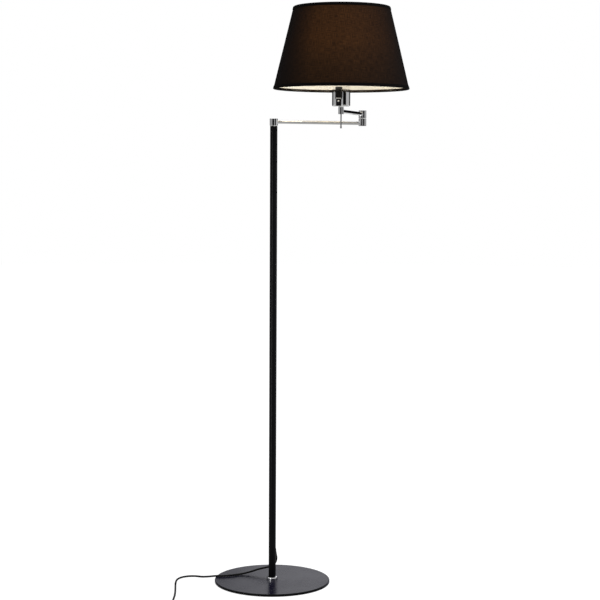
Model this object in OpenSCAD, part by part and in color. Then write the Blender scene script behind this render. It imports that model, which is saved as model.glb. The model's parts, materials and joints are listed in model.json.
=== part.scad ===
// Floor lamp with a two-piece swing arm: a round base plate, a tube column, two arms that
// turn about upright pivots, and a lampholder with a tapered fabric shade.
// Frame: origin at the middle of the base's underside, +Z up, millimetres.
// The arm is drawn at its rest pose; every pivot axis is vertical.

/* [Base] */
// Diameter of the base plate
plate_d = 304; // [290:2:306]
// Thickness of the steel base plate
plate_t = 6.5; // [6:0.5:8]
// Radius on the plate's upper edge
plate_round = 1.5; // [0.5:0.5:3]
// Thickness of the soft pad under the plate
pad_t = 1; // [1:0.5:2]
// Width of the bare rim around the pad
pad_margin = 4; // [2:1:12]
// Outer diameter of the foot collar
collar_d = 28; // [27:1:40]
// Height of the foot collar
collar_h = 6; // [4:1:12]
// Nominal diameter of the tie screw
screw_d = 8; // [6:1:8]
// Diameter of the tie screw's countersunk head
screw_head_d = 16; // [14:1:18]

/* [Column] */
// Outer diameter of the column tube
column_d = 19; // [18:0.5:21]
// Wall of the column tube
column_wall = 1.2; // [1:0.1:1.4]
// Height of the column's top edge above the floor
column_top = 1203; // [903:10:1403]
// Length of the threaded insert in the column's foot
foot_insert_h = 30; // [20:1:40]
// Length of the insert in the column's top
top_insert_h = 30; // [20:1:40]
// Diameter of the bush's boss, where the cord leaves the column
boss_d = 17.5; // [13:0.5:18]
// Height at which the cord leaves the column
exit_z = 82; // [82:1:82]
// Compass heading of the cord's exit, from +X towards +Y
exit_heading = 80; // [80:1:80]

/* [Arms] */
// Distance from the column axis to the elbow axis
arm_1_len = 250; // [200:10:320]
// Heading of the first arm
arm_1_heading = 21; // [1:5:61]
// Distance from the elbow axis to the lamp's own axis
arm_2_len = 190; // [140:10:220]
// Angle between the two arms
fold = 50; // [30:5:180]
// Outer diameter of both arm tubes
arm_d = 10; // [8:0.5:10]
// Wall of both arm tubes
arm_wall = 1; // [0.8:0.1:1.2]

/* [Pivots] */
// Outer diameter of the knuckle on the column
knuckle_d = 21; // [20:0.5:24]
// Outer diameter of the two elbow barrels
elbow_d = 20; // [19.5:0.5:22]
// Outer diameter of the knuckle under the lampholder
stem_knuckle_d = 14; // [14:0.5:16]
// Thickness of each pivot's end wall
end_wall = 4; // [3:0.5:4]
// Thickness of the caps that close the knuckles
cap_t = 1.5; // [1.5:0.5:3]
// Outer diameter of the hollow spindles
spindle_d = 10; // [9:0.5:10]
// Bore of the hollow spindles
spindle_bore = 6.4; // [6:0.1:6.6]
// Thickness of the friction washers
washer_t = 0.8; // [0.5:0.1:1]
// Running clearance between turning parts, on the radius
run_fit = 0.05; // [0.03:0.01:0.08]
// Face clearance above each friction washer
face_gap = 0.1; // [0.05:0.05:0.2]
// Diameter of the handle rod
rod_d = 3.4; // [3:0.1:4]
// Length of the handle rod that shows
rod_len = 35.6; // [20:0.2:60]
// Diameter of the bead at the end of the handle rod
rod_tip_d = 4.4; // [4.2:0.1:6]

/* [Lampholder] */
// Outer diameter of the lampholder cup
cup_d = 46; // [46:0.5:48]
// Height of the lampholder cup
cup_h = 60; // [60:1:62]
// Wall of the lampholder cup
cup_wall = 1.2; // [0.8:0.1:1.3]
// Radius on the cup's lower edge
cup_round = 4; // [1.5:0.5:4]
// Outer diameter of the hollow stem
stem_d = 7; // [6.6:0.1:7]
// Bore of the hollow stem
stem_bore = 4.4; // [4:0.1:4.8]
// Outer diameter of the lampholder's sleeve
sleeve_d = 38.6; // [38:0.1:38.8]
// Outer diameter of the shade rings
shade_ring_d = 46; // [43:0.5:47]
// Height of each shade ring
shade_ring_h = 5; // [4:0.5:5]

/* [Switch] */
// Turn of the switch around the cup, from straight ahead
switch_turn = -15; // [-60:5:60]
// Width of the switch case
case_w = 17; // [16:0.5:19]
// Height of the switch case
case_h = 26.6; // [24:0.2:28]
// Distance that the case stands out from the cup
case_depth = 7.5; // [7:0.5:10]
// Diameter of the paddle's pin
pin_d = 4; // [3.5:0.1:4]
// Height of the paddle's plate
paddle_h = 16.4; // [12:0.2:16.4]
// Diameter of the paddle's stud
stud_d = 5.5; // [3:0.5:7]

/* [Shade] */
// Diameter of the shade's upper rim
shade_top_d = 245; // [205:10:295]
// Diameter of the shade's lower rim
shade_bottom_d = 346; // [326:10:366]
// Height of the shade
shade_h = 206.5; // [196.5:5:241.5]
// Thickness of the fabric
fabric_t = 0.9; // [0.6:0.1:1.1]
// Thickness of the lining
lining_t = 0.5; // [0.3:0.1:0.8]
// Diameter of the frame's wire
wire_d = 3; // [2.5:0.1:3.4]
// Height of the hems on the outside
hem_h = 8; // [6:1:12]
// Number of spokes in the shade's frame
spoke_count = 3; // [3:1:3]

/* [Bulb] */
// Diameter of the bulb's glass
bulb_d = 60; // [55:1:66]
// Diameter of the glass where it meets the cap
neck_d = 26.8; // [25:0.1:27]
// Diameter of the bulb's screw cap
bulb_cap_d = 26.4; // [26:0.1:26.5]

/* [Cord] */
// Diameter of the cord
cord_d = 5; // [4.5:0.1:5]
// Mean diameter of the cord's coil
coil_d = 56; // [56:1:56]
// Turns that lie side by side in the coil
coil_columns = 3; // [3:1:3]
// Layers in the coil
coil_layers = 2; // [2:1:2]

/* [Hidden] */
$fn = 64;
eps = 0.01;

// Fixed fits and edge breaks
press_fit = 0.05;     // radial gap of pieces that are pressed or screwed together
edge_break = 0.4;     // chamfer on turned chrome parts
touch = 0.05;         // gap between faces that rest on each other

// Base and column
plate_top = pad_t + plate_t;
column_bore = column_d - 2 * column_wall;
insert_d = column_bore - 2 * press_fit;
screw_head_h = 4;
thread_depth = 26;
grommet_neck_d = 8;
boss_out = 3;                                // boss in front of the tube
snout_len = 16.5;                            // tapered snout in front of the boss
grommet_mouth = column_d / 2 + boss_out + snout_len;

// Pivot heights
knuckle_z = column_top + washer_t + face_gap;
arm_1_rise = 10.6;                           // first arm above the knuckle's lower face
arm_1_z = knuckle_z + arm_1_rise;
knuckle_len = 16.9;
elbow_seam_rise = 12;                        // elbow's seam above the first arm
elbow_seam = arm_1_z + elbow_seam_rise;
elbow_lower_len = 18.5;
elbow_upper_z = elbow_seam + washer_t + face_gap;
arm_2_rise = 11.1;                           // second arm above the upper barrel's lower face
arm_2_z = elbow_upper_z + arm_2_rise;
elbow_upper_len = 19;
stem_top_rise = 10.7;                        // stem knuckle's top above the second arm
stem_top = arm_2_z + stem_top_rise;
stem_knuckle_len = 16.6;
cup_z = stem_top + washer_t + face_gap;
arm_bore = arm_d - 2 * arm_wall;

// Cavities in the barrels leave this wall around them
barrel_wall = 2.2;
stem_barrel_wall = 1.2;
knuckle_cavity = knuckle_d - 2 * barrel_wall;
elbow_cavity = elbow_d - 2 * barrel_wall;
stem_cavity = stem_knuckle_d - 2 * stem_barrel_wall;
spindle_nut_af = 13;
spindle_nut_h = 3;
nut_gap = 0.3;                               // between an end wall and its nut
stem_nut_af = 9.6;
stem_nut_h = 2.6;
cup_nut_af = 12;
cup_nut_h = 3;
spigot_h = 1.2;

// Plan positions of the elbow and of the lamp
function polar(a, r) = [r * cos(a), r * sin(a)];
elbow_at = polar(arm_1_heading, arm_1_len);
arm_2_heading = arm_1_heading + 180 + fold;
lamp_at = elbow_at + polar(arm_2_heading, arm_2_len);

// Lampholder, heights above the floor
cup_floor = cup_z + cup_wall;
holder_z = cup_z + 5;
holder_base_h = 18;
core_z = holder_z + holder_base_h + touch;
core_h = 13.9;
core_d = 34;
core_top = core_z + core_h;
sleeve_bore = 28.2;
sleeve_mouth_bore = 33;
sleeve_rise = 77;                            // sleeve's mouth above the cup's lower face
sleeve_step_rise = 61;
sleeve_top = cup_z + sleeve_rise;
sleeve_step = cup_z + sleeve_step_rise;
shell_d = 27.6;
shell_bore = 26.8;
shell_h = 22;
rings_z = cup_z + cup_h + 1.2;
fitter_z = rings_z + shade_ring_h + touch;
fitter_t = 1.6;
fitter_d = 52;
fitter_bore = sleeve_d + 0.8;

// Bulb
bulb_tip_z = core_top + 2.8;
bulb_contact_h = 1.2;
insulator_h = 2.5;
bulb_cap_z = bulb_tip_z + bulb_contact_h + insulator_h;
bulb_cap_h = 22.8;
glass_z = bulb_cap_z + bulb_cap_h + touch;
glass_t = 0.8;
bulb_centre_z = glass_z + 50.5;
bulb_blend_angle = 40;                       // below the middle, where the neck's curve starts

// Shade: insets are measured inwards from the hems' outer face
shade_z = cup_z + 43.5;
hem_t = 0.4;
fabric_in = hem_t + touch;
lining_in = fabric_in + fabric_t + touch;
wire_in = fabric_in + fabric_t + 0.1 + wire_d / 2;
wire_z = hem_t + 0.1 + wire_d / 2;
hem_back_in = wire_in + wire_d / 2 + 0.1;
hem_back_h = 5.5;
lining_margin = 7;
spoke_phase = 90;                            // one spoke points straight back

// Switch, heights above the floor and distances out from the lamp's axis
cup_r = cup_d / 2;
case_z = cup_z + 22.3;
pin_z = case_z - 2.2;
pin_out = cup_r + 4;
lug_t = 1.7;
paddle_w = case_w - 2 * lug_t - 0.6;
paddle_t = 4;
paddle_top = pin_z - 2.4;
window_w = 12.2;
window_z = 3;                                // window's lower edge above the case's lower edge
window_h = 18;

// Cord: it leaves the bush, hangs to the plate, crosses it and runs over the floor
cord_r = cord_d / 2;
on_plate = plate_top + cord_r + 0.3;
on_floor = cord_r + 0.1;
function exit_point(d) = concat(polar(exit_heading, d), [exit_z]);
cord_route = [
    exit_point(grommet_mouth + touch), exit_point(grommet_mouth + 4.9),
    [7.2, 43.8, 79], [7.7, 51.6, 71.4], [9.2, 54.6, 61], [10.9, 54, 50.4], [8.4, 53.2, 40],
    [0.6, 52.6, 32.6], [-10.5, 52, 28.4], [-24, 51.2, 24.6], [-39, 49.8, 20.2], [-54, 47.4, 15.8],
    [-70, 43.2, 12.2], [-86, 36.8, on_plate], [-102, 28.4, on_plate], [-118, 21.4, on_plate],
    [-134, 18, on_plate], [-149, 19, 9.9], [-163, 23.8, 7.4], [-176.5, 30.6, 4.6],
    [-190, 37.6, on_floor], [-205, 43, on_floor], [-220, 43, on_floor], [-234, 37.4, on_floor],
    [-245, 26.6, on_floor], [-251.5, 12, on_floor], [-254, -6, on_floor], [-254, -30, on_floor],
    [-252.4, -56, on_floor], [-250.4, -84, on_floor], [-248.6, -112, on_floor],
    [-247.4, -140, on_floor], [-247.4, -168, on_floor], [-248.2, -196, on_floor],
    [-249.4, -224, on_floor], [-250, -248, on_floor]];
steps_per_leg = 2;
cord_sides = 10;
coil_at = [-217, -268];
coil_w = coil_columns * cord_d + 1;
coil_height = coil_layers * cord_d + 0.4;
plug_at = [coil_at[0] + 25.2, coil_at[1] - 30, 6.9];
boot_len = 20;
plug_len = 27;
plug_w = 35.3;
plug_thick = 13.7;
plug_pin_d = 4;
plug_pin_len = 19;
plug_pin_gap = 18.6;
plug_shank_d = 3;
plug_shank_len = 8;

// Points on an arc, for profiles
function arc(at, r, a0, a1, n = 8) =
    [for (i = [0:n]) at + polar(a0 + (a1 - a0) * i / n, r)];

// Outer face of the shade at height h above its lower rim, moved inwards
function shade_r(h, inset = 0) =
    (shade_bottom_d + (shade_top_d - shade_bottom_d) * h / shade_h) / 2 - inset;

// A point on a smooth curve through a route, between point i and the next
function on_curve(p, i, t) =
    let (n = len(p), a = p[max(i - 1, 0)], b = p[i], c = p[min(i + 1, n - 1)],
        d = p[min(i + 2, n - 1)])
    0.5 * (2 * b + (c - a) * t + (2 * a - 5 * b + 4 * c - d) * t * t
        + (3 * b - a - 3 * c + d) * t * t * t);

function smooth_route(p, k) =
    concat([for (i = [0:len(p) - 2], j = [0:k - 1]) on_curve(p, i, j / k)], [p[len(p) - 1]]);

function unit(v) = v / norm(v);

// Directions of a route at its points
function headings(p) =
    [for (i = [0:len(p) - 1]) unit(p[min(i + 1, len(p) - 1)] - p[max(i - 1, 0)])];

// A side direction carried along a route without twist
function carried(v, h) = unit(v - (v * h) * h);
function frames(h, v, i = 0) =
    i == len(h) ? [] : let (s = carried(v, h[i])) concat([s], frames(h, s, i + 1));

// Round tube along a route
module swept_tube(route, d, sides) {
    dirs = headings(route);
    side = frames(dirs, [0, 0, 1]);
    rings = len(route);
    points = [for (i = [0:rings - 1], j = [0:sides - 1])
        let (a = 360 * j / sides, up = side[i], across = cross(dirs[i], up))
        route[i] + d / 2 * (cos(a) * up + sin(a) * across)];
    skin = [for (i = [0:rings - 2], j = [0:sides - 1])
        let (k = (j + 1) % sides, a = i * sides, b = a + sides)
        [a + j, b + j, b + k, a + k]];
    start = [for (j = [0:sides - 1]) j];
    end = [for (j = [sides - 1:-1:0]) (rings - 1) * sides + j];
    polyhedron(points, concat([start], skin, [end]), convexity = 10);
}

// Flat ring
module ring(outer, inner, z, h) {
    translate([0, 0, z]) difference() {
        cylinder(d = outer, h = h);
        translate([0, 0, -1]) cylinder(d = inner, h = h + 2);
    }
}

// Plain tube or rod between two heights
module upright(d, z0, z1) {
    translate([0, 0, z0]) cylinder(d = d, h = z1 - z0);
}

module hollow(outer, inner, z0, z1) {
    ring(outer, inner, z0, z1 - z0);
}

module hex_nut(af, bore, z, h) {
    translate([0, 0, z]) difference() {
        cylinder(d = af / cos(30), h = h, $fn = 6);
        translate([0, 0, -1]) cylinder(d = bore, h = h + 2);
    }
}

// Straight round bar between two points
module bar(from, to, d) {
    v = to - from;
    l = norm(v);
    translate(from) rotate([0, acos(v[2] / l), atan2(v[1], v[0])]) cylinder(d = d, h = l);
}

module at_elbow() { translate([elbow_at[0], elbow_at[1], 0]) children(); }
module at_lamp() { translate([lamp_at[0], lamp_at[1], 0]) children(); }
module along_arm_1() { rotate([0, 0, arm_1_heading]) children(); }
module along_arm_2() { at_elbow() rotate([0, 0, arm_2_heading]) children(); }

// Pivot barrel with its end wall at z = 0, its mouth at z = len and a side socket towards +X
module barrel(d, cavity, len, bore, socket_z) {
    difference() {
        rotate_extrude() polygon([[bore / 2, 0], [d / 2 - edge_break, 0], [d / 2, edge_break],
            [d / 2, len], [cavity / 2, len], [cavity / 2, end_wall], [bore / 2, end_wall]]);
        translate([0, 0, socket_z]) rotate([0, 90, 0])
            cylinder(d = arm_d + 2 * press_fit, h = d);
    }
}

// Cap for a barrel: its flange rises from z = 0, its spigot goes down into the mouth
module barrel_cap(d, cavity, bore = 0) {
    spigot_r = cavity / 2 - press_fit;
    rotate_extrude() polygon([[bore / 2, -spigot_h], [spigot_r, -spigot_h], [spigot_r, 0],
        [d / 2, 0], [d / 2, cap_t - edge_break], [d / 2 - edge_break, cap_t], [bore / 2, cap_t]]);
}

// Arm tube along +X from one pivot axis to the other, its ends cut to the barrels' cavities
module arm_tube(len, cavity_a, cavity_b, z) {
    difference() {
        translate([0, 0, z]) rotate([0, 90, 0]) cylinder(d = arm_d, h = len);
        translate([-1, 0, z]) rotate([0, 90, 0]) cylinder(d = arm_bore, h = len + 2);
        upright(cavity_a + 2 * touch, z - arm_d, z + arm_d);
        translate([len, 0, 0]) upright(cavity_b + 2 * touch, z - arm_d, z + arm_d);
    }
}

// Lead that lies on the floor of an arm tube
module arm_lead(len, cavity_a, cavity_b, z) {
    lead_z = z - arm_bore / 2 + cord_r + 0.1;
    translate([cavity_a / 2 + 1, 0, lead_z]) rotate([0, 90, 0])
        cylinder(d = cord_d, h = len - cavity_a / 2 - cavity_b / 2 - 2);
}

// ---- Stand ----

module base_plate() {
    color("#2b2b2e") difference() {
        translate([0, 0, pad_t]) rotate_extrude($fn = 128) polygon(concat(
            [[0, 0], [plate_d / 2 - edge_break, 0], [plate_d / 2, edge_break]],
            arc([plate_d / 2 - plate_round, plate_t - plate_round], plate_round, 0, 90),
            [[0, plate_t]]));
        upright(screw_d + 0.4, -1, plate_top + 1);
        translate([0, 0, pad_t - eps])
            cylinder(d1 = screw_head_d + 0.4, d2 = screw_d + 0.4, h = screw_head_h + 0.1);
    }
}

module base_pad() {
    color("#1c1c1c") cylinder(d = plate_d - 2 * pad_margin, h = pad_t, $fn = 128);
}

module tie_screw() {
    color("#9a9a9e") {
        translate([0, 0, pad_t + 0.1])
            cylinder(d1 = screw_head_d, d2 = screw_d, h = screw_head_h);
        upright(screw_d, pad_t + screw_head_h, plate_top + thread_depth - 2);
    }
}

module foot_insert() {
    color("#8c8c90") difference() {
        upright(insert_d, plate_top, plate_top + foot_insert_h);
        upright(screw_d + 2 * press_fit, plate_top - 1, plate_top + thread_depth);
        upright(screw_d * 0.6, plate_top, plate_top + foot_insert_h + 1);
    }
}

module foot_collar() {
    bore_r = column_d / 2 + 0.1;
    collar_r = collar_d / 2;
    shoulder = 2;
    color("#d6d6da") translate([0, 0, plate_top]) rotate_extrude() polygon(concat(
        [[bore_r, 0], [collar_r, 0]],
        arc([collar_r - shoulder, collar_h - shoulder], shoulder, 0, 90),
        [[bore_r, collar_h]]));
}

module towards_exit() {
    rotate([0, 0, exit_heading]) translate([0, 0, exit_z]) rotate([0, 90, 0]) children();
}

module column_tube() {
    color("#0f0f10") difference() {
        hollow(column_d, column_bore, plate_top, column_top);
        towards_exit() upright(grommet_neck_d + 2 * press_fit, column_bore / 4, column_d);
    }
}

// Bush that guards the cord where it leaves the tube: a lip inside, a neck in the wall, a boss
// that sits on the tube and a tapered snout
module cord_grommet() {
    neck_r = grommet_neck_d / 2;
    lip_r = neck_r + 0.7;
    lip_end = sqrt(pow(column_bore / 2, 2) - pow(lip_r, 2)) - 0.1;
    lip_t = 1.4;
    boss_front = column_d / 2 + boss_out;
    color("#151515") difference() {
        union() {
            towards_exit() rotate_extrude() polygon([[0, lip_end - lip_t],
                [lip_r, lip_end - lip_t], [lip_r, lip_end], [neck_r, lip_end],
                [neck_r, boss_front], [cord_r + 0.8, grommet_mouth], [0, grommet_mouth]]);
            difference() {
                towards_exit() cylinder(d = boss_d, h = boss_front);
                upright(column_d + 0.2, exit_z - boss_d, exit_z + boss_d);
            }
        }
        towards_exit() cylinder(r = cord_r + press_fit, h = grommet_mouth + 1);
    }
}

// The cord's own length inside the column: in through the bush, a bend, then up the tube
module column_lead() {
    bend = cord_d;
    out = polar(exit_heading, 1);
    profile = concat([[grommet_mouth, 0], [(grommet_mouth + bend) / 2, 0]],
        arc([bend, bend], bend, 270, 180, 6), [[0, bend + 10], [0, knuckle_z + 9 - exit_z]]);
    color("#1a1a1a") swept_tube(
        [for (p = profile) [p[0] * out[0], p[0] * out[1], exit_z + p[1]]], cord_d, cord_sides);
}

module top_insert() {
    color("#8c8c90")
        hollow(insert_d, spindle_d + 2 * press_fit, column_top - top_insert_h, column_top);
}

module column_spindle() {
    color("#b5b5b8")
        hollow(spindle_d, spindle_bore, column_top - top_insert_h + 4, knuckle_z + end_wall + 5.5);
}

module column_washer() {
    color("#e8e8e0")
        ring(column_d - 0.4, spindle_d + 2 * press_fit, column_top, washer_t);
}

module column_nut() {
    color("#b5b5b8") hex_nut(spindle_nut_af, spindle_d + 2 * press_fit,
        knuckle_z + end_wall + nut_gap, spindle_nut_h);
}

// ---- First arm ----

module column_knuckle() {
    color("#d0d0d4") along_arm_1() translate([0, 0, knuckle_z])
        barrel(knuckle_d, knuckle_cavity, knuckle_len, spindle_d + 2 * run_fit, arm_1_rise);
}

module column_cap() {
    color("#d6d6da") translate([0, 0, knuckle_z + knuckle_len])
        barrel_cap(knuckle_d, knuckle_cavity);
}

module first_arm() {
    color("#e2e2e0") along_arm_1() arm_tube(arm_1_len, knuckle_cavity, elbow_cavity, arm_1_z);
}

module first_lead() {
    color("#1a1a1a") along_arm_1() arm_lead(arm_1_len, knuckle_cavity, elbow_cavity, arm_1_z);
}

module elbow_lower() {
    color("#d0d0d4") at_elbow() translate([0, 0, elbow_seam]) rotate([0, 0, arm_1_heading + 180])
        mirror([0, 0, 1])
            barrel(elbow_d, elbow_cavity, elbow_lower_len, spindle_d + 2 * press_fit,
                elbow_seam_rise);
}

module elbow_lower_cap() {
    color("#d6d6da") at_elbow() translate([0, 0, elbow_seam - elbow_lower_len])
        mirror([0, 0, 1]) barrel_cap(elbow_d, elbow_cavity);
}

module elbow_spindle() {
    color("#b5b5b8") at_elbow()
        hollow(spindle_d, spindle_bore, elbow_seam - end_wall - 1, elbow_upper_z + end_wall + 4.5);
}

module elbow_washer() {
    color("#e8e8e0") at_elbow()
        ring(elbow_d - 1.6, spindle_d + 2 * press_fit, elbow_seam, washer_t);
}

module elbow_nut() {
    color("#b5b5b8") at_elbow() hex_nut(spindle_nut_af, spindle_d + 2 * press_fit,
        elbow_upper_z + end_wall + nut_gap, spindle_nut_h);
}

// ---- Second arm ----

module elbow_upper() {
    color("#d0d0d4") along_arm_2() translate([0, 0, elbow_upper_z])
        barrel(elbow_d, elbow_cavity, elbow_upper_len, spindle_d + 2 * run_fit, arm_2_rise);
}

module elbow_upper_cap() {
    color("#d6d6da") at_elbow() translate([0, 0, elbow_upper_z + elbow_upper_len])
        barrel_cap(elbow_d, elbow_cavity);
}

module second_arm() {
    color("#3c3c3e") along_arm_2() arm_tube(arm_2_len, elbow_cavity, stem_cavity, arm_2_z);
}

module second_lead() {
    color("#1a1a1a") along_arm_2() arm_lead(arm_2_len, elbow_cavity, stem_cavity, arm_2_z);
}

module stem_knuckle() {
    color("#d0d0d4") at_lamp() translate([0, 0, stem_top]) rotate([0, 0, arm_2_heading + 180])
        mirror([0, 0, 1])
            barrel(stem_knuckle_d, stem_cavity, stem_knuckle_len, stem_d + 2 * run_fit,
                stem_top_rise);
}

module stem_plug() {
    color("#d6d6da") at_lamp() translate([0, 0, stem_top - stem_knuckle_len])
        mirror([0, 0, 1]) barrel_cap(stem_knuckle_d, stem_cavity, rod_d + 2 * press_fit);
}

module handle_rod() {
    rod_top = stem_top - stem_knuckle_len + spigot_h;
    rod_end = stem_top - stem_knuckle_len - cap_t - rod_len;
    bead_h = 6;
    bead_r = rod_tip_d / 2;
    color("#9c9c9e") at_lamp() {
        upright(rod_d, rod_end + bead_r, rod_top);
        translate([0, 0, rod_end]) rotate_extrude($fn = 32) polygon(concat([[0, 0]],
            arc([bead_r - 1, 1], 1, -90, 0, 4), arc([bead_r - 1, bead_h - 1], 1, 0, 60, 4),
            [[0, bead_h]]));
    }
}

module stem_washer() {
    color("#e8e8e0") at_lamp()
        ring(stem_knuckle_d - 0.6, stem_d + 2 * run_fit, stem_top, washer_t);
}

// ---- Lampholder ----

module lamp_stem() {
    color("#b5b5b8") at_lamp()
        hollow(stem_d, stem_bore, stem_top - end_wall - nut_gap - stem_nut_h - 0.9, holder_z + 6);
}

module stem_nut() {
    color("#b5b5b8") at_lamp() hex_nut(stem_nut_af, stem_d + 2 * press_fit,
        stem_top - end_wall - nut_gap - stem_nut_h, stem_nut_h);
}

module lamp_cup() {
    inner_round = cup_round - cup_wall;
    corner = cup_r - cup_round;
    hole_r = stem_d / 2 + press_fit;
    color("#d0d0d4") at_lamp() difference() {
        translate([0, 0, cup_z]) rotate_extrude($fn = 96) polygon(concat(
            [[hole_r, 0]],
            arc([corner, cup_round], cup_round, -90, 0),
            [[cup_r, cup_h], [cup_r - cup_wall, cup_h]],
            arc([corner, cup_round], inner_round, 0, -90),
            [[hole_r, cup_wall]]));
        towards_switch() translate([-window_w / 2, -cup_d, case_z + window_z])
            cube([window_w, cup_d, window_h]);
    }
}

module cup_nut() {
    color("#b5b5b8") at_lamp()
        hex_nut(cup_nut_af, stem_d + 2 * press_fit, cup_floor, cup_nut_h);
}

module holder_base() {
    bore_r = stem_d / 2 + press_fit;
    dome_r = 18.8;
    rim_r = 15.5;
    color("#1d1d1f") at_lamp() translate([0, 0, holder_z]) rotate_extrude() polygon(concat(
        [[bore_r, 0], [8, 0], [8, 4]],
        arc([8, 14.8], dome_r - 8, -90, 0),
        [[dome_r, holder_base_h], [rim_r, holder_base_h], [rim_r, 14]],
        arc([8, 14], rim_r - 8, 0, -60),
        [[bore_r, 6.5]]));
}

module holder_core() {
    terminal_hole_d = 3;
    color("#e9e7e0") at_lamp() difference() {
        upright(core_d, core_z, core_top);
        for (side = [-1, 1]) translate([side * 10, 0, 0])
            upright(terminal_hole_d, core_z - 1, core_z + 6);
    }
}

module holder_terminals() {
    color("#c9a648") at_lamp() for (side = [-1, 1]) translate([side * 10, 0, 0]) {
        upright(2.9, core_z - touch, core_z + 5);
        upright(5, core_z - touch - 3.6, core_z - touch);
    }
}

module stem_lead() {
    color("#f0f0f0") at_lamp()
        upright(stem_bore - 0.8, stem_top - end_wall - nut_gap - stem_nut_h, core_z - 0.5);
}

module holder_sleeve() {
    outer_r = sleeve_d / 2;
    core_r = core_d / 2 + 0.1;
    color("#1d1d1f") at_lamp() rotate_extrude() polygon([
        [core_r, core_z], [outer_r, core_z], [outer_r, sleeve_top - 1], [outer_r - 1, sleeve_top],
        [sleeve_mouth_bore / 2, sleeve_top], [sleeve_mouth_bore / 2, sleeve_step],
        [sleeve_bore / 2, sleeve_step], [sleeve_bore / 2, core_top + touch],
        [core_r, core_top + touch]]);
}

module screw_shell() {
    color("#d9c07a") at_lamp() hollow(shell_d, shell_bore, core_top, core_top + shell_h);
}

// Sprung brass strip under the bulb's tip
module centre_contact() {
    strip_w = 6;
    strip_t = 0.5;
    foot_x = 9;
    rise = 2;
    color("#c9a648") at_lamp() translate([0, strip_w / 2, core_top]) rotate([90, 0, 0])
        linear_extrude(strip_w) polygon([[-foot_x, 0], [-4, 0], [-2, rise], [4, rise],
            [4, rise + strip_t], [-2.3, rise + strip_t], [-4.3, strip_t], [-foot_x, strip_t]]);
}

module shade_rings() {
    ring_bore = sleeve_d + 2 * press_fit;
    color("#1d1d1f") at_lamp() {
        ring(shade_ring_d, ring_bore, rings_z, shade_ring_h);
        ring(shade_ring_d, ring_bore, fitter_z + fitter_t + touch, shade_ring_h);
    }
}

// ---- Shade ----

// Wire hoop at height h above the shade's lower rim
module hoop(h) {
    translate([0, 0, shade_z + h]) rotate_extrude($fn = 96)
        translate([shade_r(h, wire_in), 0]) circle(d = wire_d, $fn = 32);
}

// Spokes from the fitter down to the lower hoop
module spokes(d) {
    weld = 0.4;                              // spokes run this far past the hoop's middle
    inner_r = fitter_d / 2 - 2;
    rim_r = shade_r(wire_z, wire_in) + weld;
    for (i = [0:spoke_count - 1]) {
        a = spoke_phase + i * 360 / spoke_count;
        inner = polar(a, inner_r);
        outer = polar(a, rim_r);
        bar([inner[0], inner[1], fitter_z + fitter_t / 2], [outer[0], outer[1], shade_z + wire_z], d);
    }
}

module shade_frame() {
    color("#f4f2ea") at_lamp() {
        ring(fitter_d, fitter_bore, fitter_z, fitter_t);
        spokes(wire_d);
        hoop(wire_z);
    }
}

module shade_top_wire() {
    color("#f4f2ea") at_lamp() hoop(shade_h - wire_z);
}

// Tapered skin between two heights and two insets
module skin(h0, h1, in0, in1) {
    translate([0, 0, shade_z]) rotate_extrude($fn = 128) polygon([
        [shade_r(h0, in0), h0], [shade_r(h1, in0), h1], [shade_r(h1, in1), h1],
        [shade_r(h0, in1), h0]]);
}

module shade_fabric() {
    margin = hem_t + touch;
    color("#17120f") at_lamp() skin(margin, shade_h - margin, fabric_in, fabric_in + fabric_t);
}

module shade_lining() {
    color("#fff6df") at_lamp()
        skin(lining_margin, shade_h - lining_margin, lining_in, lining_in + lining_t);
}

// Hem tape folded around a rim: it covers the fabric outside and the wire inside
module hem(edge, toward) {
    outer = [[0, 0], [0, hem_h], [hem_t, hem_h], [hem_t, hem_t]];
    back = [[hem_back_in, hem_t], [hem_back_in, hem_back_h], [hem_back_in + hem_t, hem_back_h],
        [hem_back_in + hem_t, 0]];
    translate([0, 0, shade_z]) rotate_extrude($fn = 128) polygon(
        [for (p = concat(outer, back)) let (h = edge + toward * p[1]) [shade_r(h, p[0]), h]]);
}

module shade_hems() {
    color("#0e0d0d") at_lamp() {
        difference() {
            hem(0, 1);
            spokes(wire_d + 0.4);
        }
        hem(shade_h, -1);
    }
}

// ---- Bulb ----

module bulb_cap() {
    cap_r = bulb_cap_d / 2;
    wall = 0.6;
    color("#c8c8c4") at_lamp() translate([0, 0, bulb_cap_z]) rotate_extrude() polygon([
        [9, 0], [cap_r - 2.5, 0], [cap_r, 2.5], [cap_r, bulb_cap_h], [cap_r - wall, bulb_cap_h],
        [cap_r - wall, 2.8], [cap_r - 2.8, 0.6], [9, 0.6]]);
}

module bulb_tip() {
    color("#222222") at_lamp() translate([0, 0, bulb_tip_z]) rotate_extrude() polygon([
        [0, 0], [4.4, 0], [4.4, bulb_contact_h], [9.6, bulb_contact_h + insulator_h - touch],
        [0, bulb_contact_h + insulator_h - touch]]);
}

// Half outline of the glass, inset by t: round top, then a reverse curve into the neck
function glass_line(t) =
    let (r = bulb_d / 2 - t, neck = neck_d / 2 - t, a = bulb_blend_angle,
        blend = (r * cos(a) - neck) / (1 - cos(a)),
        centre = [neck + blend, bulb_centre_z - (r + blend) * sin(a)])
    concat(arc([0, bulb_centre_z], r, 90, -a, 20), arc(centre, blend, 180 - a, 180, 8));

module bulb_glass() {
    outer = glass_line(0);
    inner = glass_line(glass_t);
    color("#fffaf0") at_lamp() rotate_extrude() polygon(concat(outer,
        [[neck_d / 2, glass_z], [neck_d / 2 - glass_t, glass_z]],
        [for (i = [len(inner) - 1:-1:0]) inner[i]]));
}

// ---- Switch ----

module towards_switch() { rotate([0, 0, switch_turn]) children(); }

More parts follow.
